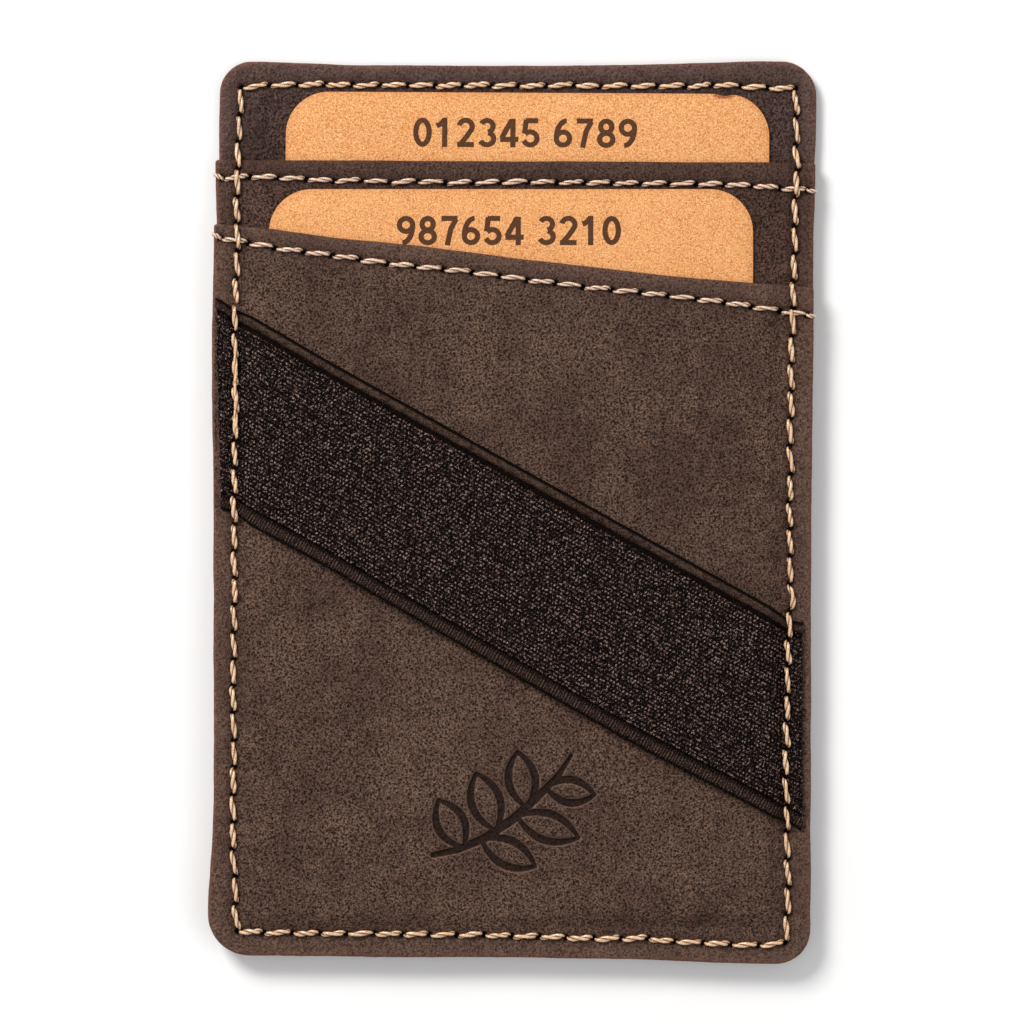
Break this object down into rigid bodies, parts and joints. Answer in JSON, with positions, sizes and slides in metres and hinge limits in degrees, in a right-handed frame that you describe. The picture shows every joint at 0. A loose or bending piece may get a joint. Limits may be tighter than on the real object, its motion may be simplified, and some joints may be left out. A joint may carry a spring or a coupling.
{
  "type": "stick on phone card holder",
  "caption": "Flat leather card holder that sticks to a telephone, with stepped pockets, card inserts and a slanted elastic finger strap.",
  "frame": {"origin": "centre of the holder's outline, on the outer face of the adhesive sheet that it rests on or sticks by", "axes": "+X to the right and +Y towards the pocket mouths as the holder is seen from the front, +Z out of the front"},
  "size_m": [0.0678, 0.1006, 0.0057],
  "materials": {
    "back_leather": "matte",
    "pocket_leather": "matte",
    "elastic": "matte",
    "card": "matte",
    "thread": "satin",
    "adhesive": "satin"
  },
  "bodies": {
    "root": {"adhesive_sheet": "adhesive", "back_panel": "back_leather", "rear_pocket_panel": "pocket_leather", "front_pocket_panel": "pocket_leather", "elastic_band": "elastic", "upper_card_insert": "card", "lower_card_insert": "card", "perimeter_needle_thread": "thread", "perimeter_bobbin_thread": "thread", "rear_hem_needle_thread": "thread", "rear_hem_bobbin_thread": "thread", "front_hem_needle_thread": "thread", "front_hem_bobbin_thread": "thread", "pocket_floor_needle_thread": "thread", "pocket_floor_bobbin_thread": "thread"}
  },
  "joints": []
}
